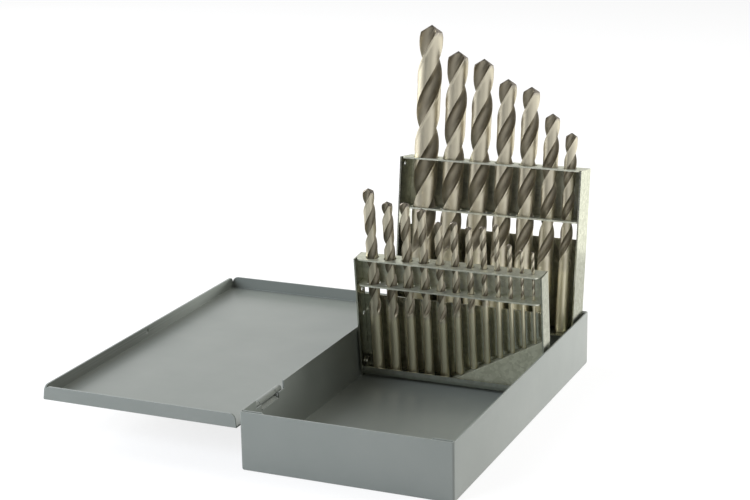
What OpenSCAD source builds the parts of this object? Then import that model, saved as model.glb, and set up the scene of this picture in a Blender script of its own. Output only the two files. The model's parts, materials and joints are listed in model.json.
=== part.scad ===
// Folded sheet steel drill index: a painted tray with a hinged lid, and two
// plated racks that stand up in the tray and hold nineteen twist drills.
// The tray's underside centre is the origin; +Y runs from the front to the back.

/* [Tray] */
// Outside width of the tray
tray_w = 102; // [96:1:120]
// Outside length of the tray
tray_l = 192; // [190:1:220]
// Outside height of the tray
tray_h = 28; // [28:0.5:36]
// Thickness of the painted sheet
sheet_t = 0.8; // [0.6:0.1:1]
// Outside radius of the tray's upright corners
corner_r = 1.2; // [1:0.1:2]

/* [Lid] */
// Height of the lid's folded rims
lid_rim_h = 6.8; // [5:0.2:8]
// Gap that the closed lid leaves to the tray's walls
lid_gap = 0.8; // [0.5:0.1:2]
// Depth of the hinge axis below the tray's top edge
hinge_drop = 4; // [3.5:0.1:6]
// Radius of the hinge pins
hinge_pin_r = 0.8; // [0.6:0.05:1]
// Length of the tray's knuckle in each hinge
tray_knuckle_l = 16; // [10:1:24]
// Length of each of the lid's knuckles
lid_knuckle_l = 5.5; // [4:0.5:8]
// Distance from the tray's end to the middle of the hinge near it
hinge_inset = 29; // [24:1:50]
// Radius of the catch bump on the lid's outer rim
catch_r = 1.4; // [1:0.1:2]
// Height of the catch bump
catch_h = 0.5; // [0.3:0.1:0.7]

/* [Racks] */
// Thickness of the plated sheet
rack_t = 0.8; // [0.6:0.1:1]
// Margin between the end of a rack and its first and last holes
hole_margin = 4.4; // [3.5:0.1:5]
// Room round each drill in its hole
hole_room = 0.35; // [0.3:0.05:0.5]
// Radius of the pivot rivets
rivet_r = 1.4; // [1.2:0.1:1.8]
// Radius of the rivets' heads
rivet_head_r = 2.2; // [2:0.1:2.8]
// Thickness of the rivets' heads
rivet_head_h = 0.9; // [0.6:0.1:1.2]
// Radius of the round holes in the side plates
side_hole_r = 1.2; // [0.8:0.1:1.6]
// Metal left round the rivets' heads in the rails and plates
rivet_margin = 1.4; // [1:0.1:2]
// Room under the front rack when it is folded flat
fold_room = 0.6; // [0.4:0.1:1]
// Room between the two racks when they are folded flat
stack_room = 0.5; // [0.4:0.1:0.7]

/* [Front rack] */
// Distance between the pivots of the two racks
pivot_spacing = 42; // [40:1:50]
// Height of the front rack's pivot above the tray's underside
front_pivot_z = 8; // [7.5:0.1:9]
// How far the front rack leans forward when it stands
front_lean = 6; // [4:1:8]
// Depth of the front rack's plates, front to back
front_rack_d = 9.6; // [9.4:0.1:9.8]
// Distance of the front row of drills from the plates' front edges
front_row_d = 4.8; // [4.4:0.1:5]
// Height of the front rack's top plate above its pivot
front_top = 58.5; // [56:0.5:62]
// Height between the front rack's two plates with holes
front_channel_h = 13.8; // [12:0.2:16]
// Height of the slope along the front of the foot
foot_slope_h = 2.1; // [1.8:0.1:2.6]
// Height of the foot's turned-up lip
foot_lip_h = 2.2; // [1.8:0.1:3]
// Distances of the left side plate's holes below the lower plate
front_side_holes = [5, 18];
// Distance of the front panel's top edge below the lower plate
front_window_h = 7.5; // [5:0.5:12]
// How far the ramp under the short drills climbs
ramp_rise = 28; // [24:1:30]

/* [Back rack] */
// Distance from the tray's back face to the back rack's pivot
back_pivot_inset = 16; // [15:1:20]
// Height of the back rack's pivot above the tray's underside
back_pivot_z = 17; // [15:0.5:18]
// How far the back rack leans back when it stands
back_lean = 8; // [6:1:9]
// Depth of the back rack's plates, front to back
back_rack_d = 15.9; // [15.4:0.1:16.1]
// Distance of the back row of drills from the plates' front edges
back_row_d = 7.7; // [7.4:0.1:8]
// Height of the back rack's top plate above its pivot
back_top = 87.3; // [85:0.5:90]
// Height between the back rack's two plates with holes
back_channel_h = 26; // [24:0.5:28]
// Height of the back panel above the foot
back_panel_h = 47; // [40:1:50]
// Distance of the left side plate's hole below the top plate
back_side_hole = 4; // [3:0.5:6]

/* [Drills] */
// Lengths of the front row's drills, left to right
front_lengths = [98.5, 92.5, 93, 90.5, 84.5, 81, 75, 72, 70, 57, 51.5, 48];
// Lengths of the back row's drills, left to right
back_lengths = [152.4, 139.7, 136.5, 127, 123.8, 111, 102];
// Diameter of the front row's largest drill, in sixty-fourths of an inch
front_largest = 15; // [14:1:15]
// Diameters of the back row's drills, in sixty-fourths of an inch
back_sizes = [32, 28, 27, 24, 23, 20, 16];
// Included angle of the drills' points
point_angle = 118; // [110:1:135]
// Helix angle of the flutes
helix_angle = 28; // [24:1:32]
// Thickness of the drills' web, as a share of the diameter
web_share = 0.22; // [0.16:0.01:0.3]

/* [Hidden] */
inch = 25.4;
fit = 0.05;
face_gap = 0.3;
side_play = 0.3;
drill_gap = 0.1;
pin_over = 0.5;
lap = 0.3;
land_relief = 0.06;
$fn = 32;

inner_w = tray_w - 2 * sheet_t;
front_y = -tray_l / 2;
wall_x = -tray_w / 2;

// The lid's rims tuck inside the tray's walls when the lid is shut
knuckle_r = hinge_pin_r + fit + sheet_t;
hinge_x = wall_x - face_gap - knuckle_r;
hinge_z = tray_h - hinge_drop;
hinge_to_panel = hinge_drop + face_gap + sheet_t;
lid_edge_x = hinge_x - knuckle_r + sheet_t;
lid_w = inner_w / 2 - lid_gap - 2 * hinge_x + lid_edge_x;
lid_l = tray_l - 2 * (sheet_t + lid_gap);
lid_z = hinge_z - hinge_to_panel;
hinge_pin_l = tray_knuckle_l + 2 * (lid_knuckle_l + face_gap + pin_over);
hinge_ys = [front_y + hinge_inset, -front_y - hinge_inset];
strap_z = hinge_z + hinge_pin_r + fit;
knuckle_step = (tray_knuckle_l + lid_knuckle_l) / 2 + face_gap;

// The racks' side plates run beside rails that are welded to the tray's walls
rack_w = inner_w - 2 * (sheet_t + side_play);
channel_w = rack_w - 2 * rack_t;
floor_room = front_pivot_z - sheet_t - face_gap;

back_pivot_y = -front_y - back_pivot_inset;
front_pivot_y = back_pivot_y - pivot_spacing;

// Depths are measured from the pivots, towards the back; folded flat, the
// front rack lies under the back one, so the two share the tray's depth
front_lip_y = sheet_t + fold_room - front_pivot_z;
front_back_y = front_lip_y + front_rack_d;
front_row_y = front_lip_y + front_row_d;
back_lip_y = front_back_y + front_pivot_z + stack_room - back_pivot_z;
back_back_y = back_lip_y + back_rack_d;
back_row_y = back_lip_y + back_row_d;

front_sizes = [for (i = [0:11]) front_largest - i];
front_ds = [for (s = front_sizes) s * inch / 64];
back_ds = [for (s = back_sizes) s * inch / 64];

function sum(list, n) = n <= 0 ? 0 : list[n - 1] + sum(list, n - 1);
// Equal strips of metal are left between neighbouring holes
function strip(ds) = (channel_w - 2 * hole_margin - sum(ds, len(ds))) / (len(ds) - 1);
function hole_x(ds, i) = -channel_w / 2 + hole_margin + sum(ds, i) + ds[i] / 2 + i * strip(ds);

// The front rack's foot is flat under the drills, as low as it can swing
foot_y = front_lip_y + rack_t / 2;
foot_turn_y = front_row_y - front_ds[0] / 2 - face_gap;
front_foot = sqrt(pow(floor_room, 2) - pow(foot_turn_y, 2)) - rack_t;
// The back rack's foot clears the rivets' heads
back_foot = rivet_head_r + face_gap + rack_t;
// The ramp starts beside the fifth drill
ramp_x = hole_x(front_ds, 4) + front_ds[4] / 2;
function ramp_z(x) = -front_foot + max(0, x - ramp_x) * ramp_rise / (channel_w / 2 - ramp_x);
function front_foot_z(i) = ramp_z(hole_x(front_ds, i) + front_ds[i] / 2) + drill_gap;

front_names = [for (i = [1:12]) str("front_drill_", i)];
back_names = [for (i = [1:7]) str("back_drill_", i)];

paint = [0.44, 0.47, 0.47];
zinc = [0.62, 0.63, 0.56];
steel = [0.66, 0.62, 0.52];

// A rectangle with round corners, made of exact arcs
module round_rect(w, l, r) {
    square([w - 2 * r, l], center = true);
    square([w, l - 2 * r], center = true);
    for (x = [-1, 1])
        for (y = [-1, 1])
            translate([x * (w / 2 - r), y * (l / 2 - r)])
                circle(r);
}

// A flat outline in the Y-Z plane, given a thickness along X
module along_x(x, t) {
    translate([x, 0, 0])
        rotate([90, 0, 90])
            linear_extrude(t)
                children();
}

// A flat outline in the X-Z plane, given a thickness along Y
module along_y(y, t) {
    translate([0, y + t, 0])
        rotate([90, 0, 0])
            linear_extrude(t)
                children();
}

module knuckle(y, l) {
    translate([hinge_x, y - l / 2, hinge_z])
        rotate([-90, 0, 0])
            difference() {
                cylinder(r = knuckle_r, h = l);
                translate([0, 0, -1])
                    cylinder(r = hinge_pin_r + fit, h = l + 2);
            }
}

// The tray's knuckle hangs on a strap that is bent out of the left wall
module tray_knuckle(y) {
    knuckle(y, tray_knuckle_l);
    translate([hinge_x, y - tray_knuckle_l / 2, strap_z])
        cube([wall_x - hinge_x + sheet_t / 2, tray_knuckle_l, sheet_t]);
}

// The wall is cut away above the strap, and deeper beside the lid's knuckles
module hinge_notch(y) {
    slot_l = lid_knuckle_l + 2 * face_gap;
    slot_z = hinge_z - knuckle_r - face_gap;
    notch_l = 2 * knuckle_step + slot_l;
    translate([wall_x - 1, y - notch_l / 2, strap_z + sheet_t])
        cube([sheet_t + 2, notch_l, tray_h]);
    for (side = [-1, 1])
        translate([wall_x - 1, y + side * knuckle_step - slot_l / 2, slot_z])
            cube([sheet_t + 2, slot_l, tray_h]);
}

module base_tray() {
    color(paint) {
        difference() {
            linear_extrude(tray_h)
                round_rect(tray_w, tray_l, corner_r);
            translate([0, 0, sheet_t])
                linear_extrude(tray_h)
                    round_rect(inner_w, tray_l - 2 * sheet_t, corner_r - sheet_t / 2);
            for (y = hinge_ys)
                hinge_notch(y);
        }
        for (y = hinge_ys)
            tray_knuckle(y);
    }
}

// The lid's knuckles are curled at the top of tabs that stand on its edge
module lid_knuckle(y) {
    knuckle(y, lid_knuckle_l);
    translate([hinge_x - knuckle_r, y - lid_knuckle_l / 2, lid_z])
        cube([sheet_t, lid_knuckle_l, hinge_to_panel]);
}

module lid() {
    far_x = lid_edge_x - lid_w;
    color(paint) {
        translate([far_x, -lid_l / 2, lid_z])
            cube([lid_w, lid_l, sheet_t]);
        translate([far_x, -lid_l / 2, lid_z])
            cube([sheet_t, lid_l, lid_rim_h]);
        for (y = [-lid_l / 2, lid_l / 2 - sheet_t])
            translate([far_x, y, lid_z])
                cube([lid_w - corner_r, sheet_t, lid_rim_h]);
        for (y = hinge_ys)
            for (side = [-1, 1])
                lid_knuckle(y + side * knuckle_step);
        translate([far_x - catch_h, 0, lid_z + lid_rim_h / 2])
            rotate([0, 90, 0])
                cylinder(r = catch_r, h = catch_h + sheet_t / 2);
    }
}

module hinge_pin(y) {
    color(zinc)
        translate([hinge_x, y - hinge_pin_l / 2, hinge_z])
            rotate([-90, 0, 0])
                cylinder(r = hinge_pin_r, h = hinge_pin_l);
}

// A rail on the inside of a side wall, drilled for both pivots
module pivot_rail(side) {
    x = side > 0 ? inner_w / 2 - sheet_t : -inner_w / 2;
    color(zinc)
        difference() {
            along_x(x, sheet_t)
                rail_outline();
            for (p = [[front_pivot_y, front_pivot_z], [back_pivot_y, back_pivot_z]])
                translate([x - 1, p[0], p[1]])
                    rotate([0, 90, 0])
                        cylinder(r = rivet_r + fit, h = sheet_t + 2);
        }
}

module rail_outline() {
    margin = rivet_head_r + rivet_margin;
    translate([front_pivot_y - margin, sheet_t])
        square([back_pivot_y - front_pivot_y + 2 * margin, front_pivot_z + margin - sheet_t]);
    translate([back_pivot_y - margin, sheet_t])
        square([2 * margin, back_pivot_z - sheet_t]);
    translate([back_pivot_y, back_pivot_z])
        circle(margin);
}

module place_front() {
    translate([0, front_pivot_y, front_pivot_z])
        rotate([front_lean, 0, 0])
            children();
}

module place_back() {
    translate([0, back_pivot_y, back_pivot_z])
        rotate([-back_lean, 0, 0])
            children();
}

// Both side plates of a rack, with their pivot holes; the left one has more holes
module side_plates(left_hole_zs) {
    left_x = -rack_w / 2;
    for (x = [left_x, rack_w / 2 - rack_t])
        difference() {
            along_x(x, rack_t)
                children();
            translate([x - 1, 0, 0])
                rotate([0, 90, 0])
                    cylinder(r = rivet_r + fit, h = rack_t + 2);
            for (z = x == left_x ? left_hole_zs : [])
                translate([x - 1, 0, z])
                    rotate([0, 90, 0])
                        cylinder(r = side_hole_r, h = rack_t + 2);
        }
}

// The plate's lower front corner is round, so that it clears the tray's floor
module front_side_outline() {
    difference() {
        translate([front_lip_y, -front_foot - rack_t])
            square([front_rack_d, front_top + front_foot + rack_t]);
        difference() {
            translate([-floor_room * 2, -floor_room * 2])
                square(floor_room * 2);
            circle(floor_room);
        }
    }
}

// The foot's outline: flat under the drills, turned up along the front
module front_foot_outline() {
    lip_z = foot_slope_h - front_foot - rack_t;
    polygon([[front_back_y, -front_foot - rack_t], [foot_turn_y, -front_foot - rack_t],
        [foot_y, lip_z], [foot_y, lip_z + foot_lip_h],
        [foot_y + rack_t, lip_z + foot_lip_h], [foot_y + rack_t, lip_z + rack_t / 2],
        [foot_turn_y + rack_t / 2, -front_foot], [front_back_y, -front_foot]]);
}

module front_rack_frame() {
    color(zinc)
        place_front() {
            side_plates([for (d = front_side_holes) front_top - front_channel_h - d])
                front_side_outline();
            along_x(-channel_w / 2 - rack_t / 2, channel_w + rack_t)
                front_foot_outline();
        }
}

// The ramp lifts the short drills, and a skirt closes its front
module front_rack_ramp() {
    end_x = channel_w / 2;
    base_z = -front_foot;
    skirt_x = ramp_x + (foot_slope_h + rack_t / 2) * (end_x - ramp_x) / ramp_rise;
    skirt_y = foot_turn_y + rack_t / 2 + drill_gap;
    skirt_z = base_z + foot_slope_h;
    top_z = ramp_z(end_x);
    color(zinc)
        place_front() {
            along_y(skirt_y, front_back_y - rack_t - skirt_y)
                polygon([[ramp_x, base_z], [end_x, top_z], [end_x, top_z - rack_t],
                    [ramp_x + 2 * rack_t, base_z]]);
            along_y(skirt_y, rack_t)
                polygon([[skirt_x, skirt_z], [end_x, skirt_z], [end_x, top_z - rack_t / 2]]);
        }
}

// The panel behind the front row stands on the foot, under an open window
module front_rack_panel() {
    window_z = front_top - front_channel_h - rack_t - front_window_h;
    color(zinc)
        place_front()
            translate([-channel_w / 2, front_back_y - rack_t, -front_foot])
                cube([channel_w, rack_t, window_z + front_foot]);
}

// A channel folded from one strip: the top plate, the web behind, the lower plate
module channel(ds, row_y, lip_y, back_y, top, height) {
    difference() {
        union() {
            for (z = [top - rack_t, top - height - rack_t])
                translate([-channel_w / 2, lip_y, z])
                    cube([channel_w, back_y - lip_y, rack_t]);
            translate([-channel_w / 2, back_y - rack_t, top - height - rack_t])
                cube([channel_w, rack_t, height + rack_t]);
        }
        for (i = [0:len(ds) - 1])
            translate([hole_x(ds, i), row_y, top - height - 2 * rack_t])
                cylinder(r = ds[i] / 2 + hole_room, h = height + 3 * rack_t);
    }
}

module front_rack_channel() {
    color(zinc)
        place_front()
            channel(front_ds, front_row_y, front_lip_y, front_back_y, front_top, front_channel_h);
}

module back_rack_channel() {
    color(zinc)
        place_back()
            channel(back_ds, back_row_y, back_lip_y, back_back_y, back_top, back_channel_h);
}

module back_side_outline() {
    translate([back_lip_y, back_foot])
        square([back_rack_d, back_top - back_foot]);
    translate([back_lip_y, -rivet_head_r - rivet_margin])
        square([back_rack_d, back_foot + rivet_head_r + rivet_margin]);
}

module back_rack_frame() {
    color(zinc)
        place_back() {
            side_plates([back_top - back_side_hole])
                back_side_outline();
            translate([-channel_w / 2 - rack_t / 2, back_lip_y, back_foot - rack_t])
                cube([channel_w + rack_t, back_rack_d, rack_t]);
        }
}

// The panel behind the back row stands on the foot, under an open window
module back_rack_panel() {
    color(zinc)
        place_back()
            translate([-channel_w / 2, back_back_y - rack_t, back_foot])
                cube([channel_w, rack_t, back_panel_h]);
}

// A pair of rivets: a head inside the rack, a shank through plate and rail
module rivets(y, z) {
    head_x = rack_w / 2 - rack_t - side_play / 2;
    color(steel)
        for (side = [0, 1])
            mirror([side, 0, 0])
                translate([0, y, z])
                    rotate([0, 90, 0]) {
                        translate([0, 0, head_x - rivet_head_h])
                            cylinder(r = rivet_head_r, h = rivet_head_h);
                        translate([0, 0, head_x - rivet_head_h / 2])
                            cylinder(r = rivet_r, h = inner_w / 2 - head_x + rivet_head_h / 2);
                    }
}

// Half of a fluted section: the land's outer edge, then the hollow of the flute
function land(d) = [for (a = [-18:20:42]) d / 2 * [cos(a), sin(a)]];
function hollow(d) = [for (a = [66:29:124]) d / 2 * (web_share + 0.18 * pow((a - 95) / 29, 2))
    * [cos(a), sin(a)]];
function half_section(d) = concat(land(d), hollow(d));
function turned(points) = [for (p = points) -p];
// Small drills have short flutes for their length
function flute_share(d) = 0.46 + 0.14 * ln(16 * d / inch);

// A twist drill, shank down: plain shank, twisted flutes, and a point that is
// ground as a cone across the flutes
module drill(d, l) {
    point_h = d / 2 / tan(point_angle / 2);
    shank_l = l - point_h - flute_share(d) * l;
    lead = PI * d / tan(helix_angle);
    flute_l = l - shank_l + lap;
    turns = flute_l / lead;
    section = concat(half_section(d - land_relief), turned(half_section(d - land_relief)));
    reach = d;
    cylinder(r = d / 2, h = shank_l);
    intersection() {
        translate([0, 0, shank_l - lap])
            linear_extrude(flute_l, twist = -360 * turns, slices = ceil(turns * 10),
                segments = len(section))
                polygon(section);
        rotate_extrude()
            polygon([[0, shank_l - 2 * lap], [reach, shank_l - 2 * lap],
                [reach, l - reach / tan(point_angle / 2)], [0, l]]);
    }
}

module front_drill(i) {
    color(steel)
        place_front()
            translate([hole_x(front_ds, i), front_row_y, front_foot_z(i)])
                drill(front_ds[i], front_lengths[i]);
}

module back_drill(i) {
    color(steel)
        place_back()
            translate([hole_x(back_ds, i), back_row_y, back_foot + drill_gap])
                drill(back_ds[i], back_lengths[i]);
}

base_tray();
lid();
hinge_pin(hinge_ys[0]);  // front_hinge_pin
hinge_pin(hinge_ys[1]);  // rear_hinge_pin
pivot_rail(-1);  // left_pivot_rail
pivot_rail(1);  // right_pivot_rail
front_rack_frame();
front_rack_ramp();
front_rack_panel();
front_rack_channel();
rivets(front_pivot_y, front_pivot_z);  // front_rack_rivets
back_rack_frame();
back_rack_panel();
back_rack_channel();
rivets(back_pivot_y, back_pivot_z);  // back_rack_rivets
for (i = [0:11])
    front_drill(i);
for (i = [0:6])
    back_drill(i);
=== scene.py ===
"""A folded sheet steel drill index: a grey painted tray with its lid laid open, and
two zinc plated racks that stand in it and hold nineteen twist drills."""

import json
import math

import bmesh
import bpy
from mathutils import Matrix, Vector


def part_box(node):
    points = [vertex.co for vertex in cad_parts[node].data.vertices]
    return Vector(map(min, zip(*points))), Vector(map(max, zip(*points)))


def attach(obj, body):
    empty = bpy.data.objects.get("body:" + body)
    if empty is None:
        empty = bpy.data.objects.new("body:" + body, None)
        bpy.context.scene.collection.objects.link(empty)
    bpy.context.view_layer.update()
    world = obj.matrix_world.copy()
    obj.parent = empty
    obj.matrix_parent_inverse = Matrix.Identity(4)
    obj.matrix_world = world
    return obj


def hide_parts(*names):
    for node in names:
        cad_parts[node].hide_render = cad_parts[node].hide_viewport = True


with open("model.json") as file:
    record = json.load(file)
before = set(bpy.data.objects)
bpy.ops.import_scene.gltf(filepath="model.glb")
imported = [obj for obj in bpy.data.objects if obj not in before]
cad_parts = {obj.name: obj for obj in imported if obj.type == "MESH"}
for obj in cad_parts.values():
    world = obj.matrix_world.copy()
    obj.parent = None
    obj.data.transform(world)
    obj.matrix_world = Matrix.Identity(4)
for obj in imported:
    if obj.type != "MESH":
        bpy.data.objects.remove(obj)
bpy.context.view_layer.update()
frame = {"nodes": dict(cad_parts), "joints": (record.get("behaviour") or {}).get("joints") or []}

MM = 0.001


# Camera
# The photograph was taken from the front right, a little above the drills' tips.
# Its place and turn were worked out from the corners of the tray and the racks.
PICTURE_W = 750
FOCAL_PX = 1800
SENSOR_MM = 36
CAMERA_AT = Vector((0.307, -0.7553, 0.315))
YAW = math.radians(23.8)
PITCH = math.radians(15.95)
ROLL = math.radians(-1.0)

level = math.cos(PITCH)
forward = Vector((-math.sin(YAW) * level, math.cos(YAW) * level, -math.sin(PITCH)))
level_right = Vector((math.cos(YAW), math.sin(YAW), 0))
level_up = level_right.cross(forward)
right = level_right * math.cos(ROLL) + level_up * math.sin(ROLL)
up = level_up * math.cos(ROLL) - level_right * math.sin(ROLL)
camera_turn = Matrix((right, up, -forward)).transposed().to_4x4()

camera_data = bpy.data.cameras.new("camera")
camera_data.sensor_width = SENSOR_MM
camera_data.lens = FOCAL_PX / PICTURE_W * SENSOR_MM
camera_data.clip_start = 10 * MM
camera = bpy.data.objects.new("camera", camera_data)
camera.matrix_world = Matrix.Translation(CAMERA_AT) @ camera_turn
bpy.context.scene.collection.objects.link(camera)
bpy.context.scene.camera = camera
bpy.context.scene.view_settings.view_transform = "Standard"


# Studio
# A pale floor and a white backdrop under four soft lamps at the right, above and at
# the left. Polished metal also sees four cards: a dim room before it and overhead,
# and a bright patch of floor behind it.
FLOOR_SIZE = 8
FLOOR_DROP = 0.05 * MM
FLOOR_COLOUR = (0.80, 0.80, 0.80, 1)
FLOOR_GLOW = 1.1
FLOOR_GLOW_SHARE = 0.72
WHITE = (1, 1, 1, 1)
CARD_COLOUR = (1, 1, 0.97, 1)
AMBIENT_COLOUR = (1, 1, 0.98, 1)
AMBIENT = 0.32
BACKDROP = 1.0
LAMPS_AIM = Vector((0, 0, 0.05))


def new_material(name):
    material = bpy.data.materials.new(name)
    material.use_nodes = True
    material.node_tree.nodes.clear()
    return material, material.node_tree.nodes, material.node_tree.links


def add_node(nodes, kind, inputs=None, **settings):
    """A node with its settings, such as an operation, and its inputs set by name or place."""
    node = nodes.new(kind)
    for name, value in settings.items():
        setattr(node, name, value)
    for name, value in (inputs or {}).items():
        node.inputs[name].default_value = value
    return node


def math_node(nodes, links, operation, first, second):
    node = add_node(nodes, "ShaderNodeMath", operation=operation)
    for socket, value in zip(node.inputs, (first, second)):
        if isinstance(value, (int, float)):
            socket.default_value = value
        else:
            links.new(value, socket)
    return node.outputs[0]


def set_surface(nodes, links, shader, output="ShaderNodeOutputMaterial"):
    links.new(shader.outputs[0], nodes.new(output).inputs["Surface"])


def mix_shaders(nodes, links, share, first, second):
    mix = nodes.new("ShaderNodeMixShader")
    for socket, value in zip(mix.inputs, (share, first.outputs[0], second.outputs[0])):
        links.new(value, socket)
    return mix


def seen_rays(nodes, links):
    """1 for the rays that show the backdrop: the camera's, and those in metal and glass."""
    path = nodes.new("ShaderNodeLightPath").outputs
    either = math_node(nodes, links, "MAXIMUM", path["Is Camera Ray"], path["Is Glossy Ray"])
    return math_node(nodes, links, "MAXIMUM", either, path["Is Transmission Ray"])


def mesh_object(name, bm, material):
    mesh = bpy.data.meshes.new(name)
    bm.to_mesh(mesh)
    bm.free()
    mesh.materials.append(material)
    obj = bpy.data.objects.new(name, mesh)
    bpy.context.scene.collection.objects.link(obj)
    return obj


floor_material, nodes, links = new_material("pale floor")
floor_material.cycles.emission_sampling = "NONE"
floor_paint = add_node(nodes, "ShaderNodeBsdfDiffuse", {"Color": FLOOR_COLOUR})
floor_glow = add_node(nodes, "ShaderNodeEmission", {"Color": WHITE, "Strength": FLOOR_GLOW})
glow_share = math_node(nodes, links, "MULTIPLY", seen_rays(nodes, links), FLOOR_GLOW_SHARE)
set_surface(nodes, links, mix_shaders(nodes, links, glow_share, floor_paint, floor_glow))
bm = bmesh.new()
bmesh.ops.create_grid(bm, x_segments=1, y_segments=1, size=FLOOR_SIZE / 2)
bmesh.ops.translate(bm, verts=bm.verts, vec=(0, 0, -FLOOR_DROP))
mesh_object("floor", bm, floor_material)


def card(name, radiance, size, at, tilt, turn):
    """A glowing sheet that only metal can see."""
    material, nodes, links = new_material(name)
    material.cycles.emission_sampling = "NONE"
    glow = add_node(nodes, "ShaderNodeEmission", {"Color": CARD_COLOUR, "Strength": radiance})
    set_surface(nodes, links, glow)
    bm = bmesh.new()
    bmesh.ops.create_grid(bm, x_segments=1, y_segments=1, size=0.5)
    bmesh.ops.scale(bm, verts=bm.verts, vec=(*size, 1))
    for degrees, axis in ((tilt, "X"), (turn, "Z")):
        rotation = Matrix.Rotation(math.radians(degrees), 3, axis)
        bmesh.ops.rotate(bm, verts=bm.verts, matrix=rotation)
    bmesh.ops.translate(bm, verts=bm.verts, vec=at)
    obj = mesh_object(name, bm, material)
    obj.visible_camera = False
    obj.visible_diffuse = False
    obj.visible_shadow = False
    obj.visible_transmission = False


card("room_left", radiance=0.08, size=(1.7, 1.6), at=(-1.0, -1.7, 0.7), tilt=90, turn=-28)
card("room_camera", radiance=0.45, size=(1.6, 1.6), at=(0.8, -2.1, 0.7), tilt=90, turn=20)
card("room_top", radiance=0.12, size=(4.5, 4.5), at=(0, -0.4, 1.9), tilt=0, turn=0)
card("bright_floor", radiance=1.9, size=(0.8, 0.9), at=(0.52, 0.62, 0.0005), tilt=0, turn=-20)

world = bpy.data.worlds.new("studio")
bpy.context.scene.world = world
world.use_nodes = True
nodes, links = world.node_tree.nodes, world.node_tree.links
nodes.clear()
ambient = add_node(nodes, "ShaderNodeBackground", {"Color": AMBIENT_COLOUR, "Strength": AMBIENT})
backdrop = add_node(nodes, "ShaderNodeBackground", {"Color": WHITE, "Strength": BACKDROP})
shown = mix_shaders(nodes, links, seen_rays(nodes, links), ambient, backdrop)
set_surface(nodes, links, shown, "ShaderNodeOutputWorld")


def soft_lamp(name, at, size, watts, colour, shines=False):
    """A rectangular lamp aimed at the tray; one that shines is also mirrored in metal."""
    data = bpy.data.lights.new(name, "AREA")
    data.shape = "RECTANGLE"
    data.size, data.size_y = size
    data.energy = watts
    data.color = colour
    lamp = bpy.data.objects.new(name, data)
    aim = (LAMPS_AIM - Vector(at)).to_track_quat("-Z", "Y").to_matrix().to_4x4()
    lamp.matrix_world = Matrix.Translation(at) @ aim
    lamp.visible_camera = False
    lamp.visible_glossy = shines
    bpy.context.scene.collection.objects.link(lamp)


soft_lamp("lamp_right", at=(0.66, 0.58, 0.11), size=(0.4, 0.14), watts=9.5, colour=(0.98, 0.99, 1))
soft_lamp("lamp_top", at=(0.45, 0.55, 1.15), size=(0.7, 0.7), watts=8, colour=(1, 0.99, 0.96))
soft_lamp("lamp_left", at=(-1.3, 0.3, 0.55), size=(0.7, 0.5), watts=18, colour=(1, 1, 1),
          shines=True)
soft_lamp("lamp_front_left", at=(-0.9, -1.1, 0.8), size=(1.1, 1.1), watts=28,
          colour=(0.82, 0.88, 1))


# Grey paint
# The tray and the lid are sprayed with a satin grey enamel. It has a fine ripple,
# faint uneven patches, and a painted highlight: thin paler edges where the sheet was folded.
PAINT_DARK = (0.172, 0.187, 0.168)
PAINT_LIGHT = (0.188, 0.201, 0.181)
# Painted highlight: the paler colour laid over folded edges, and its share
PAINT_EDGE_HIGHLIGHT = (0.40, 0.44, 0.41)
PAINT_HIGHLIGHT_SHARE = 0.6
PAINT_ROUGH = 0.33
PAINT_SMOOTH = 0.29
PAINT_RIPPLE = 0.06
BUMP_DEPTH = 0.05 * MM
NOISE_LOW = 0.3
NOISE_HIGH = 0.7
EDGE_SAMPLES = 6
EDGE_GAIN = 6
EDGE_SPECKS = {"Scale": 900, "Detail": 3}
PATCH_NOISE = {"Detail": 6, "Roughness": 0.6}


def new_group(name, inputs, output):
    """A node group with the given inputs and their defaults, and one float output."""
    group = bpy.data.node_groups.new(name, "ShaderNodeTree")
    for socket_name, value in inputs.items():
        kind = "NodeSocketVector" if isinstance(value, tuple) else "NodeSocketFloat"
        socket = group.interface.new_socket(name=socket_name, in_out="INPUT", socket_type=kind)
        socket.default_value = value
    group.interface.new_socket(name=output, in_out="OUTPUT", socket_type="NodeSocketFloat")
    given = group.nodes.new("NodeGroupInput").outputs
    result = group.nodes.new("NodeGroupOutput").inputs[output]
    return group, given, result


def edge_group():
    """A mask that is 1 along sharp edges, broken up by a fine noise."""
    inputs = {"Radius": 0.4 * MM, "Breakup": 0.5}
    group, given, result = new_group("folded edge", inputs, "Mask")
    nodes, links = group.nodes, group.links
    soft = add_node(nodes, "ShaderNodeBevel", samples=EDGE_SAMPLES)
    links.new(given["Radius"], soft.inputs["Radius"])
    true = nodes.new("ShaderNodeNewGeometry")
    dot = add_node(nodes, "ShaderNodeVectorMath", operation="DOT_PRODUCT")
    links.new(soft.outputs["Normal"], dot.inputs[0])
    links.new(true.outputs["Normal"], dot.inputs[1])
    away = math_node(nodes, links, "SUBTRACT", 1, dot.outputs["Value"])
    strong = math_node(nodes, links, "MULTIPLY", away, EDGE_GAIN)
    place = nodes.new("ShaderNodeTexCoord")
    noise = add_node(nodes, "ShaderNodeTexNoise", EDGE_SPECKS)
    links.new(place.outputs["Object"], noise.inputs["Vector"])
    rough = math_node(nodes, links, "MULTIPLY", noise.outputs["Fac"], given["Breakup"])
    kept = math_node(nodes, links, "SUBTRACT", strong, rough)
    clamp = nodes.new("ShaderNodeClamp")
    links.new(kept, clamp.inputs["Value"])
    links.new(clamp.outputs[0], result)
    return group


def patch_group():
    """Uneven patches from 0 to 1 on the piece's own coordinates, coarse and fine."""
    inputs = {"Scale": 40, "Stretch": (1, 1, 1)}
    group, given, result = new_group("uneven patches", inputs, "Fac")
    nodes, links = group.nodes, group.links
    place = nodes.new("ShaderNodeTexCoord")
    stretch = add_node(nodes, "ShaderNodeVectorMath", operation="MULTIPLY")
    links.new(place.outputs["Object"], stretch.inputs[0])
    links.new(given["Stretch"], stretch.inputs[1])
    noise = add_node(nodes, "ShaderNodeTexNoise", PATCH_NOISE)
    links.new(stretch.outputs[0], noise.inputs["Vector"])
    links.new(given["Scale"], noise.inputs["Scale"])
    links.new(noise.outputs["Fac"], result)
    return group


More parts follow.
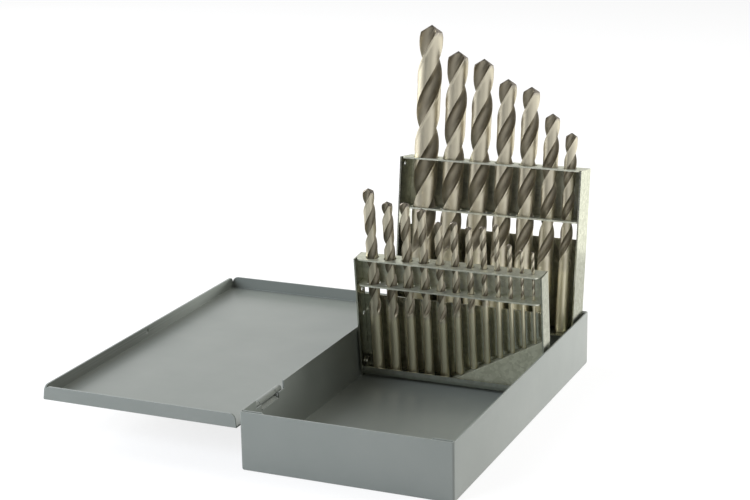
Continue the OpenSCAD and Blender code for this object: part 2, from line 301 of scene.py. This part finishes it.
EDGE = edge_group()
PATCH = patch_group()


def use_group(nodes, group, **inputs):
    return add_node(nodes, "ShaderNodeGroup", inputs, node_tree=group).outputs[0]


def mix_colors(nodes, links, share, first, second):
    node = add_node(nodes, "ShaderNodeMix", data_type="RGBA")
    links.new(share, next(s for s in node.inputs if s.type == "VALUE"))
    for socket, colour in zip([s for s in node.inputs if s.type == "RGBA"], (first, second)):
        if isinstance(colour, tuple):
            socket.default_value = (*colour, 1)
        else:
            links.new(colour, socket)
    return next(s for s in node.outputs if s.type == "RGBA")


def map_range(nodes, links, value, low, high):
    """Spreads a noise, which seldom leaves its middle, over low to high."""
    limits = {"From Min": NOISE_LOW, "From Max": NOISE_HIGH, "To Min": low, "To Max": high}
    node = add_node(nodes, "ShaderNodeMapRange", limits)
    links.new(value, node.inputs["Value"])
    return node.outputs["Result"]


def patchy_color(nodes, links, patches, dark, light):
    return mix_colors(nodes, links, map_range(nodes, links, patches, 0, 1), dark, light)


def painted_edge_highlight(nodes, links, colour, highlight_colour, share, **inputs):
    """Paints a highlight: lays a paler colour over the folded edges, in place of the light they
    catch.
    """
    share = math_node(nodes, links, "MULTIPLY", use_group(nodes, EDGE, **inputs), share)
    return mix_colors(nodes, links, share, colour, highlight_colour)


def add_bump(nodes, links, shader, height, strength):
    bump = add_node(nodes, "ShaderNodeBump", {"Strength": strength, "Distance": BUMP_DEPTH})
    links.new(height, bump.inputs["Height"])
    links.new(bump.outputs[0], shader.inputs["Normal"])


def grey_paint():
    material, nodes, links = new_material("satin grey enamel")
    shader = add_node(nodes, "ShaderNodeBsdfPrincipled", {"IOR": 1.5})
    patches = use_group(nodes, PATCH, Scale=30)
    colour = patchy_color(nodes, links, patches, PAINT_DARK, PAINT_LIGHT)
    # Painted highlight: a paler colour along the folded edges stands in for the light they catch
    colour = painted_edge_highlight(nodes, links, colour, PAINT_EDGE_HIGHLIGHT, PAINT_HIGHLIGHT_SHARE,
                        Radius=0.5 * MM, Breakup=0.7)
    links.new(colour, shader.inputs["Base Color"])
    roughness = map_range(nodes, links, patches, PAINT_ROUGH, PAINT_SMOOTH)
    links.new(roughness, shader.inputs["Roughness"])
    add_bump(nodes, links, shader, use_group(nodes, PATCH, Scale=1100), PAINT_RIPPLE)
    set_surface(nodes, links, shader)
    return material


paint = grey_paint()


# Tray
# One sheet of 0.8 mm steel, folded up on four sides. Its left wall is cut away at
# the two hinges, and a tab at each corner is folded in behind the end walls.
SHEET = 0.8 * MM
FOLD_R = 1.2 * MM
FLOOR_FOLD_R = 0.96 * MM
EDGE_R = 0.13 * MM
CREASE = math.radians(40)
CUT_SLACK = 1e-7
NEAR = 0.1 * MM
WALL_FACING = 0.99
WALL_AREA = 100 * MM ** 2
FIT = 0.05 * MM
PLAY = 0.3 * MM
TRAY_KNUCKLE_L = 16 * MM
LID_KNUCKLE_L = 5.5 * MM
KNUCKLE_STEP = (TRAY_KNUCKLE_L + LID_KNUCKLE_L) / 2 + PLAY
STRAP_FROM = math.radians(240)
TAB_W = 12 * MM
TAB_SLANT = 2.6 * MM
TAB_GAP = 0.9 * MM

tray_low, tray_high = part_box("base_tray")
pins = [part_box("front_hinge_pin"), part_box("rear_hinge_pin")]
pin_r = (pins[0][1].x - pins[0][0].x) / 2
hinge_x = (pins[0][0].x + pins[0][1].x) / 2
hinge_z = (pins[0][0].z + pins[0][1].z) / 2
hinge_ys = [(low.y + high.y) / 2 for low, high in pins]
curl_r = pin_r + FIT + SHEET / 2
wall_x = -tray_high.x
strap_run = wall_x + SHEET / 2 - hinge_x - curl_r * math.cos(STRAP_FROM)
strap = Vector((strap_run, 0, -strap_run / math.tan(STRAP_FROM)))
strap_top = hinge_z + curl_r * math.sin(STRAP_FROM) + strap.z


def box_mesh(low, high):
    bm = bmesh.new()
    bmesh.ops.create_cube(bm, size=1)
    low, high = Vector(low), Vector(high)
    bmesh.ops.scale(bm, verts=bm.verts, vec=high - low)
    bmesh.ops.translate(bm, verts=bm.verts, vec=(low + high) / 2)
    return bm


def round_off(bm, geom, radius, segments, affect="EDGES"):
    bmesh.ops.bevel(bm, geom=geom, offset=radius, segments=segments, profile=0.5,
                    affect=affect, material=-1)


def cut(bm, faces, at, normal):
    """Cuts the given faces along a plane and returns the faces that come of them."""
    geom = set(faces)
    for face in faces:
        geom.update(face.verts)
        geom.update(face.edges)
    made = bmesh.ops.bisect_plane(bm, geom=list(geom), plane_co=at, plane_no=normal, dist=CUT_SLACK)
    return [g for g in made["geom"] if isinstance(g, bmesh.types.BMFace)]


def rounded(obj, edge_r=EDGE_R):
    """Rounds a piece's sharp edges and shades its curved faces smooth."""
    edge = obj.modifiers.new("edges", "BEVEL")
    edge.width = edge_r
    edge.segments = 2
    edge.limit_method = "ANGLE"
    edge.angle_limit = CREASE
    edge.harden_normals = True
    for polygon in obj.data.polygons:
        polygon.use_smooth = True
    obj.data.set_sharp_from_angle(angle=CREASE)


def folded(obj, offset=-1, edge_r=EDGE_R):
    """Gives an open shell its sheet thickness, and rounds the sheet's edges."""
    wall = obj.modifiers.new("sheet", "SOLIDIFY")
    wall.thickness = SHEET
    wall.offset = offset
    wall.use_even_offset = True
    rounded(obj, edge_r)


bm = box_mesh((wall_x, tray_low.y, 0), (tray_high.x, tray_high.y, tray_high.z))
top = [f for f in bm.faces if f.normal.z > WALL_FACING]
bmesh.ops.delete(bm, geom=top, context="FACES_ONLY")
upright = [e for e in bm.edges if abs(e.verts[0].co.z - e.verts[1].co.z) > MM]
round_off(bm, upright, FOLD_R, segments=5)
around = [e for e in bm.edges if all(v.co.z < NEAR for v in e.verts)]
round_off(bm, around, FLOOR_FOLD_R, segments=4)
left_wall = [f for f in bm.faces if f.normal.x < -WALL_FACING and f.calc_area() > WALL_AREA]
notches = [(y, TRAY_KNUCKLE_L / 2 + 2 * PLAY, strap_top) for y in hinge_ys]
notches += [(y, KNUCKLE_STEP + LID_KNUCKLE_L / 2 + PLAY, hinge_z) for y in hinge_ys]
for y, half, bottom in notches:
    for end in (y - half, y + half):
        left_wall = cut(bm, left_wall, (0, end, 0), (0, 1, 0))
for bottom in (strap_top, hinge_z):
    left_wall = cut(bm, left_wall, (0, 0, bottom), (0, 0, 1))
gone = []
for face in left_wall:
    at = face.calc_center_median()
    if any(abs(at.y - y) < half and at.z > bottom for y, half, bottom in notches):
        gone.append(face)
bmesh.ops.delete(bm, geom=gone, context="FACES")
tray_shell = mesh_object("tray_shell", bm, paint)
folded(tray_shell)
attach(tray_shell, "tray")
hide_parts("base_tray")

tab_ys = {"front": tray_low.y + SHEET + TAB_GAP, "back": tray_high.y - 2 * SHEET - TAB_GAP}
tab_xs = {"left": wall_x + SHEET, "right": tray_high.x - SHEET - TAB_W}
for end, y in tab_ys.items():
    for side, x in tab_xs.items():
        bm = box_mesh((x, y, SHEET + 2 * PLAY), (x + TAB_W, y + SHEET, tray_high.z))
        free_x = x + TAB_W if side == "left" else x
        free = {v for v in bm.verts if abs(v.co.x - free_x) < NEAR and v.co.z > tray_high.z / 2}
        corner = [e for e in bm.edges if free.issuperset(e.verts)]
        round_off(bm, corner, TAB_SLANT, segments=1)
        tab = mesh_object(f"tray_{end}_{side}_tab", bm, paint)
        rounded(tab)
        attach(tab, "tray")


# Hinges
# The lid turns on two wire pins. Straps of the tray's sheet are curled over each
# pin in the middle, and straps of the lid's sheet on both sides of it.
TRAY_TURN = math.radians(255)
LID_STRAP_FROM = math.radians(180)
LID_TURN = math.radians(285)
STRAP_GROWTH = 1.12
CURL_STEPS = 22
CURL_EDGE_R = 0.08 * MM
MERGE = 0.01 * MM

lid_low, lid_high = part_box("lid")


def curl(name, y, length, start, turn, strap, body):
    """A strap that ends in a curl round the pin; start and turn are angles about the pin."""
    bm = bmesh.new()
    at = Vector((hinge_x, y, hinge_z))
    radius = Vector((math.cos(start), 0, math.sin(start))) * curl_r
    ends = [bm.verts.new(at + radius + Vector((0, side * length / 2, 0))) for side in (-1, 1)]
    edge = bm.edges.new(ends)
    bmesh.ops.spin(bm, geom=ends + [edge], cent=at, axis=(0, 1, 0), dvec=(0, 0, 0), angle=turn,
                   steps=CURL_STEPS, use_merge=False, use_duplicate=False)
    grown = bmesh.ops.extrude_edge_only(bm, edges=[edge])
    moved = [g for g in grown["geom"] if isinstance(g, bmesh.types.BMVert)]
    bmesh.ops.translate(bm, verts=moved, vec=strap)
    bmesh.ops.remove_doubles(bm, verts=bm.verts, dist=MERGE)
    bmesh.ops.recalc_face_normals(bm, faces=bm.faces)
    obj = mesh_object(name, bm, paint)
    folded(obj, 0, CURL_EDGE_R)
    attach(obj, body)


lid_strap = (0, 0, lid_low.z + SHEET - hinge_z)
for place, y in zip(("front", "rear"), hinge_ys):
    curl(f"tray_{place}_knuckle", y, TRAY_KNUCKLE_L, STRAP_FROM, TRAY_TURN,
         strap * STRAP_GROWTH, "tray")
    for side, word in ((-1, "near"), (1, "far")):
        curl(f"lid_{place}_{word}_knuckle", y + side * KNUCKLE_STEP, LID_KNUCKLE_L,
             LID_STRAP_FROM, LID_TURN, lid_strap, "lid")


# Lid
# A shallow pan of the same sheet. Its rims are folded up on three sides with open
# corners, their ends are rounded, and a catch is pressed out of the far rim.
LID_RIM_H = 6.8 * MM
LID_CORNER_R = 2.6 * MM
LID_CORNER_GAP = 1.3 * MM
LID_HINGE_GAP = 0.5 * MM
LID_FOLD_R = 0.6 * MM
CATCH_R = 1.5 * MM
CATCH_H = 0.5 * MM
CATCH_DROP = 2.6 * MM
CATCH_CELLS = 12
RIM_FACING = 0.9

far_x = lid_low.x + CATCH_H
near_x = hinge_x - curl_r + SHEET / 2
rim_top = lid_low.z + LID_RIM_H
catch_z = rim_top - CATCH_DROP
outline = ((far_x, lid_low.y), (near_x, lid_low.y), (near_x, lid_high.y), (far_x, lid_high.y))
bm = bmesh.new()
panel = bm.faces.new([bm.verts.new((x, y, lid_low.z)) for x, y in outline])
front_edge, near_edge, back_edge, far_edge = panel.edges
rim_ends = []
for edge in (front_edge, back_edge, far_edge):
    grown = bmesh.ops.extrude_edge_only(bm, edges=[edge])
    tops = [g for g in grown["geom"] if isinstance(g, bmesh.types.BMVert)]
    bmesh.ops.translate(bm, verts=tops, vec=(0, 0, LID_RIM_H))
    middle = (tops[0].co + tops[1].co) / 2
    for vert in tops:
        at_hinge = edge is not far_edge and abs(vert.co.x - near_x) < MM
        gap = LID_HINGE_GAP if at_hinge else LID_CORNER_GAP
        vert.co += (middle - vert.co).normalized() * gap
    rim_ends += tops
round_off(bm, rim_ends, LID_CORNER_R, segments=6, affect="VERTICES")
folds = [e for e in bm.edges if len(e.link_faces) == 2]
round_off(bm, folds, LID_FOLD_R, segments=4)
bmesh.ops.recalc_face_normals(bm, faces=bm.faces)
far_rim = [f for f in bm.faces if abs(f.normal.x) > RIM_FACING]
for step in range(CATCH_CELLS + 1):
    off = (step / CATCH_CELLS * 2 - 1) * CATCH_R
    far_rim = cut(bm, far_rim, (0, off, 0), (0, 1, 0))
    far_rim = cut(bm, far_rim, (0, 0, catch_z + off), (0, 0, 1))
for vert in {v for f in far_rim for v in f.verts}:
    away = math.hypot(vert.co.y, vert.co.z - catch_z) / CATCH_R
    if away < 1:
        vert.co.x -= CATCH_H * math.sqrt(1 - away ** 2)
if max(bm.faces, key=lambda f: f.calc_area()).normal.z > 0:
    bmesh.ops.reverse_faces(bm, faces=bm.faces)
lid_pan = mesh_object("lid_pan", bm, paint)
folded(lid_pan)
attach(lid_pan, "lid")
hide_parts("lid")


# Zinc plated sheet
# The racks are folded from zinc coated steel. The zinc's crystals show as small flat
# patches of different brightness, under cloudy stains and fine rolling marks.
PLATE_TINT = (0.62, 0.62, 0.56, 1)
# Painted highlight: a paler colour laid over the plates' edges, and its share
PLATE_EDGE_HIGHLIGHT = (0.78, 0.78, 0.70)
PLATE_HIGHLIGHT_SHARE = 0.4
CRYSTAL_SCALE = 620
CRYSTAL_BEND = 4 * MM
STAIN_SCALE = 160
STAIN_GAIN = 1.9
CRYSTAL_ROUGHNESS = 0.07
ROLLED_ALONG = (0.15, 1, 1)
ROLLED_DEPTH = 0.12


def zinc_plate(name, dark, light, rough, metallic):
    material, nodes, links = new_material(name)
    finish = {"Metallic": metallic, "Specular Tint": PLATE_TINT}
    shader = add_node(nodes, "ShaderNodeBsdfPrincipled", finish)
    place = nodes.new("ShaderNodeTexCoord").outputs["Object"]
    bend = add_node(nodes, "ShaderNodeTexNoise", {"Scale": STAIN_SCALE})
    links.new(place, bend.inputs["Vector"])
    warp = add_node(nodes, "ShaderNodeVectorMath", {1: (CRYSTAL_BEND,) * 3}, operation="MULTIPLY_ADD")
    links.new(bend.outputs["Color"], warp.inputs[0])
    links.new(place, warp.inputs[2])
    crystals = add_node(nodes, "ShaderNodeTexVoronoi", {"Scale": CRYSTAL_SCALE})
    links.new(warp.outputs[0], crystals.inputs["Vector"])
    split = nodes.new("ShaderNodeSeparateColor")
    links.new(crystals.outputs["Color"], split.inputs[0])
    stains = use_group(nodes, PATCH, Scale=STAIN_SCALE)
    cloudy = math_node(nodes, links, "MULTIPLY", split.outputs[0], stains)
    tone = math_node(nodes, links, "MULTIPLY", cloudy, STAIN_GAIN)
    colour = mix_colors(nodes, links, tone, dark, light)
    # Painted highlight along the plates' edges, in a paler colour
    colour = painted_edge_highlight(nodes, links, colour, PLATE_EDGE_HIGHLIGHT, PLATE_HIGHLIGHT_SHARE,
                        Radius=0.35 * MM, Breakup=0.4)
    links.new(colour, shader.inputs["Base Color"])
    limits = {"To Min": rough, "To Max": rough + CRYSTAL_ROUGHNESS}
    roughness = add_node(nodes, "ShaderNodeMapRange", limits)
    links.new(split.outputs[1], roughness.inputs["Value"])
    links.new(roughness.outputs["Result"], shader.inputs["Roughness"])
    rolled = use_group(nodes, PATCH, Scale=500, Stretch=ROLLED_ALONG)
    add_bump(nodes, links, shader, rolled, ROLLED_DEPTH)
    set_surface(nodes, links, shader)
    return material


zinc = zinc_plate("bright zinc sheet", dark=(0.49, 0.50, 0.43), light=(0.61, 0.62, 0.54),
                  rough=0.15, metallic=0.96)
satin_zinc = zinc_plate("satin zinc sheet", dark=(0.62, 0.63, 0.52), light=(0.78, 0.79, 0.66),
                        rough=0.30, metallic=0.80)
dull_zinc = zinc_plate("dull zinc sheet", dark=(0.45, 0.45, 0.33), light=(0.59, 0.59, 0.455),
                       rough=0.36, metallic=0.70)
bright_steel = zinc_plate("bright rivet steel", dark=(0.55, 0.54, 0.50), light=(0.70, 0.69, 0.64),
                          rough=0.18, metallic=0.96)


# Pivots
# A strip inside each side wall carries the racks' rivets. The rivets and the hinges'
# wires are bright plated steel with well rounded edges.
CAD_MERGE = 0.002 * MM
CAD_FLAT = math.radians(0.5)
RIVET_EDGE_R = 0.2 * MM


def refined(node, body, material, edge_r=EDGE_R, reshape=None):
    """A piece that takes a CAD node's own shape, with its edges rounded."""
    bm = bmesh.new()
    bm.from_mesh(frame["nodes"][node].data)
    bmesh.ops.remove_doubles(bm, verts=bm.verts, dist=CAD_MERGE)
    bmesh.ops.dissolve_limit(bm, angle_limit=CAD_FLAT, verts=bm.verts, edges=bm.edges)
    if reshape:
        reshape(bm)
    obj = mesh_object(node + "_sheet", bm, material)
    rounded(obj, edge_r)
    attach(obj, body)
    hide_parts(node)


for node in ("left_pivot_rail", "right_pivot_rail"):
    refined(node, "tray", zinc)
for node in ("front_rack_rivets", "back_rack_rivets", "front_hinge_pin", "rear_hinge_pin"):
    refined(node, "tray", bright_steel, RIVET_EDGE_R)


# Racks
# Each rack is a frame of two side plates and a foot, a panel behind its drills, and a
# channel whose two plates are punched with the drills' holes. The front one has a ramp.
FRONT_CORNER_R = 3.4 * MM
BACK_CORNER_R = 2.2 * MM
SKIRT_LEAN = 0.065
RIVET_ROOM = 0.06 * MM

finishes = {"frame": zinc, "panel": zinc, "channel": satin_zinc, "ramp": dull_zinc}
drill_axes = {j["child"]: Vector(j["axis"]) for j in frame["joints"] if j["type"] == "slide"}
rack_up = drill_axes["front_drill_1"]
rack_back = rack_up.cross(Vector((1, 0, 0)))


def round_corners(radius):
    """Makes the reshape that rounds the free front corners of a channel's two plates."""
    def reshape(bm):
        end = max(v.co.x for v in bm.verts)
        middle = sum(v.co.y for v in bm.verts) / len(bm.verts)
        corners = []
        for edge in bm.edges:
            first, second = (v.co for v in edge.verts)
            across = first - second
            at_end = abs(abs(first.x) - end) < NEAR and abs(across.x) < NEAR / 10
            one_sheet = abs(across.length - SHEET) < NEAR / 2
            if at_end and one_sheet and (first.y + second.y) / 2 < middle:
                corners.append(edge)
        round_off(bm, corners, radius, segments=6)
    return reshape


def lean_skirt(bm):
    """Leans the ramp's skirt back from its foot, so that a fold line shows above the lip."""
    front = min(v.co.dot(rack_back) for v in bm.verts)
    skirt = [v for v in bm.verts if v.co.dot(rack_back) < front + 2 * SHEET]
    heights = sorted(v.co.dot(rack_up) for v in skirt)
    foot = next(h for h in heights if h > heights[0] + MM)
    for vert in skirt:
        vert.co += rack_back * SKIRT_LEAN * max(0, vert.co.dot(rack_up) - foot)


def clear_rivets(bm):
    """Takes a hair off the panel's front, to clear the rivets' heads as the rack turns."""
    bm.normal_update()
    face = min(bm.faces, key=lambda f: f.normal.y)
    bmesh.ops.translate(bm, verts=face.verts, vec=face.normal * -RIVET_ROOM)


reshapes = {"front_rack_ramp": lean_skirt, "front_rack_panel": clear_rivets,
            "front_rack_channel": round_corners(FRONT_CORNER_R),
            "back_rack_channel": round_corners(BACK_CORNER_R)}
racks = {"front_rack": ("frame", "ramp", "panel", "channel"),
         "back_rack": ("frame", "panel", "channel")}
for rack, parts in racks.items():
    for part in parts:
        node = f"{rack}_{part}"
        refined(node, rack, finishes[part], reshape=reshapes.get(node))


# Twist drills
# Ground high speed steel: a plain shank, two flutes that wind up to the point and
# run out above the shank, and a point ground as a cone across them.
DRILL_TINT = (0.44, 0.42, 0.40, 1)
LAND_DARK = (0.61, 0.565, 0.445)
LAND_LIGHT = (0.69, 0.64, 0.505)
# Painted shade: the flutes' hollows get darker colours that stand in for the shade and dark
# reflections in them
FLUTE_SHADE_DARK = (0.29, 0.26, 0.20)
FLUTE_SHADE_LIGHT = (0.36, 0.325, 0.25)
POINT_COLOUR = (0.40, 0.365, 0.32)
# Painted light: the shanks get a paler colour than the lands, standing in for brighter reflections on
# them
SHANK_LIT_COLOUR = (0.82, 0.765, 0.575)
DRILL_SMOOTH = 0.38
DRILL_ROUGH = 0.44
HOLLOW_ROUGHER = 0.06
STREAKS_ALONG = (1, 1, 0.22)
GRIND_ACROSS = (0.4, 0.4, 1.6)
GRIND_DEPTH = 0.04

# A drill's angles; a flute narrower than the least one leaves its land unrelieved
HALF_POINT = math.radians(59)
HELIX = math.radians(29)
DRILL_CREASE = math.radians(38)
LEAST_FLUTE = 0.05

# Its sizes as shares of its radius
CUTTER_R = 0.74
WEB = 0.24
CUTTER_OUT = 0.001
LAND_RELIEF = 0.035
POINT_RELIEF = 0.10
CHAMFER = 0.12
RUN_OUT = 3.2
HOLLOW_FROM = 0.15

# How sharply a hollow's painted shade and extra roughness end at its rims, and two small lengths
HOLLOW_EDGE_POWER = 10
GROUND_SLACK = 0.001 * MM
DRILL_MERGE = 0.004 * MM

# The fluted share of a drill's length grows with its diameter, from a 1/16 inch drill's
SMALLEST_D = 25.4 * MM / 16
SMALLEST_SHARE = 0.46
SHARE_GROWTH = 0.14

# Cells round half a section, and steps along the drill
RING_HALF = 40
LAND_CELLS = 18
FLUTE_CELLS = RING_HALF - LAND_CELLS
MARGIN_CELLS = 2
STEPS_A_LEAD = 30
POINT_STEPS = 12

# At the tip each drill is turned from the camera's bearing, each a little differently
facing = math.atan2(CAMERA_AT.y, CAMERA_AT.x)
TIP_TURN = math.radians(180)
TIP_SPREAD = math.radians(11)
TIP_STEP = 5


def drill_steel():
    material, nodes, links = new_material("ground drill steel")
    finish = {"Metallic": 1.0, "Specular Tint": DRILL_TINT}
    shader = add_node(nodes, "ShaderNodeBsdfPrincipled", finish)
    marks = [add_node(nodes, "ShaderNodeAttribute", attribute_name=name).outputs["Fac"]
             for name in ("groove", "ground", "shank")]
    groove, ground, shank = marks
    streaks = use_group(nodes, PATCH, Scale=420, Stretch=STREAKS_ALONG)
    land = patchy_color(nodes, links, streaks, LAND_DARK, LAND_LIGHT)
    flute_shade = patchy_color(nodes, links, streaks, FLUTE_SHADE_DARK, FLUTE_SHADE_LIGHT)
    # Painted shade: the colour darkens into the flutes by their depth
    colour = mix_colors(nodes, links, groove, land, flute_shade)
    colour = mix_colors(nodes, links, ground, colour, POINT_COLOUR)
    # Painted light: the shanks are mixed towards their paler colour
    colour = mix_colors(nodes, links, shank, colour, SHANK_LIT_COLOUR)
    links.new(colour, shader.inputs["Base Color"])
    fine = map_range(nodes, links, streaks, DRILL_SMOOTH, DRILL_ROUGH)
    rougher = math_node(nodes, links, "MULTIPLY", groove, HOLLOW_ROUGHER)
    links.new(math_node(nodes, links, "ADD", fine, rougher), shader.inputs["Roughness"])
    grind = use_group(nodes, PATCH, Scale=900, Stretch=GRIND_ACROSS)
    add_bump(nodes, links, shader, grind, GRIND_DEPTH)
    set_surface(nodes, links, shader)
    return material


def smooth(t):
    t = min(max(t, 0), 1)
    return t * t * (3 - 2 * t)


def flute_share(diameter):
    return SMALLEST_SHARE + SHARE_GROWTH * math.log(diameter / SMALLEST_D)


def section_point(cell, lift):
    """A point of half the fluted section, as angle, radius and depth; lift draws the cutter out."""
    cutter_at = CUTTER_R + WEB + lift
    meets = min((1 + cutter_at ** 2 - CUTTER_R ** 2) / (2 * cutter_at), 1)
    half = math.acos(meets)
    if cell <= LAND_CELLS:
        share = cell / LAND_CELLS
        relief = LAND_RELIEF * smooth((cell - MARGIN_CELLS) * 2) * (half > LEAST_FLUTE)
        return half + share * (math.pi - 2 * half), 1 - relief, 0.0
    across = (cell - LAND_CELLS) / FLUTE_CELLS * 2 - 1
    sweep = math.asin(min(math.sin(half) / CUTTER_R, 1))
    if meets > cutter_at:
        sweep = math.pi - sweep
    x = cutter_at - CUTTER_R * math.cos(across * sweep)
    y = CUTTER_R * math.sin(across * sweep)
    depth = 1 - abs(across) ** HOLLOW_EDGE_POWER
    return math.pi + math.atan2(y, x), math.hypot(x, y), depth


def twist_drill(node, body, lean, tip_turn):
    """A drill in the place of its CAD node: a bar wound up its own lead, then drawn in."""
    low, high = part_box(node)
    r = (high.x - low.x) / 2
    base = Vector(((low.x + high.x) / 2, 0, low.z + r * abs(math.sin(lean))))
    if lean > 0:
        base.y = high.y - r * math.cos(lean)
    else:
        base.y = low.y + r * math.cos(lean)
    length = (high.z - base.z) / math.cos(lean)
    point = r / math.tan(HALF_POINT)
    lead = math.tau * r / math.tan(HELIX)
    body_l = length - point
    phase = facing + tip_turn - length / lead * math.tau
    steps = math.ceil(body_l / lead * STEPS_A_LEAD)
    flutes_at = body_l - flute_share(2 * r) * length
    bm = bmesh.new()
    ring = bmesh.ops.create_circle(bm, cap_ends=True, segments=2 * RING_HALF, radius=r)["verts"]
    bmesh.ops.rotate(bm, verts=ring, matrix=Matrix.Rotation(phase, 3, "Z"))
    edges = list(bm.edges)
    for rise, count in ((body_l, steps), (point, POINT_STEPS)):
        wound = bmesh.ops.spin(bm, geom=edges, cent=(0, 0, 0), axis=(0, 0, 1),
                               dvec=(0, 0, rise / count), angle=rise / lead * math.tau,
                               steps=count, use_merge=False, use_duplicate=False)
        edges = [g for g in wound["geom_last"] if isinstance(g, bmesh.types.BMEdge)]
    groove = bm.verts.layers.float.new("groove")
    ground = bm.verts.layers.float.new("ground")
    shank = bm.verts.layers.float.new("shank")
    for vert in bm.verts:
        z = vert.co.z
        turn = phase + z / lead * math.tau
        local = (math.atan2(vert.co.y, vert.co.x) - turn) % math.tau
        cell = round(local / math.pi * RING_HALF)
        half_turn = math.pi * (cell // RING_HALF)
        cell %= RING_HALF
        run = min(max((z - flutes_at) / (RUN_OUT * r), 0), 1)
        angle, share, depth = section_point(cell, (1 - WEB) * (1 - run) ** 2 + CUTTER_OUT)
        angle += turn + half_turn
        relief = POINT_RELIEF * r * cell / LAND_CELLS if cell < LAND_CELLS else 0.0
        to_point = length - relief * min(1, (length - z) / point) - z
        cone = max(to_point, 0) * math.tan(HALF_POINT)
        chamfer = r - max(0, CHAMFER * r - z)
        reach = min(r * share, cone, chamfer)
        vert.co.x = reach * math.cos(angle)
        vert.co.y = reach * math.sin(angle)
        vert[groove] = depth * min(max((1 - share) / HOLLOW_FROM, 0), 1)
        vert[ground] = 1.0 if cone <= r * share + GROUND_SLACK else 0.0
        vert[shank] = smooth((flutes_at - z) / r)
    bmesh.ops.remove_doubles(bm, verts=bm.verts, dist=DRILL_MERGE)
    bmesh.ops.recalc_face_normals(bm, faces=bm.faces)
    stand = Matrix.Translation(base) @ Matrix.Rotation(lean, 4, "X")
    bmesh.ops.transform(bm, matrix=stand, verts=bm.verts)
    obj = mesh_object(node + "_steel", bm, bright_drill)
    for polygon in obj.data.polygons:
        polygon.use_smooth = True
    obj.data.set_sharp_from_angle(angle=DRILL_CREASE)
    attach(obj, body)
    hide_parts(node)


bright_drill = drill_steel()
for number, (node, axis) in enumerate(drill_axes.items()):
    tip_turn = TIP_TURN + TIP_SPREAD * math.sin(TIP_STEP * number)
    twist_drill(node, node, math.atan2(-axis.y, axis.z), tip_turn)
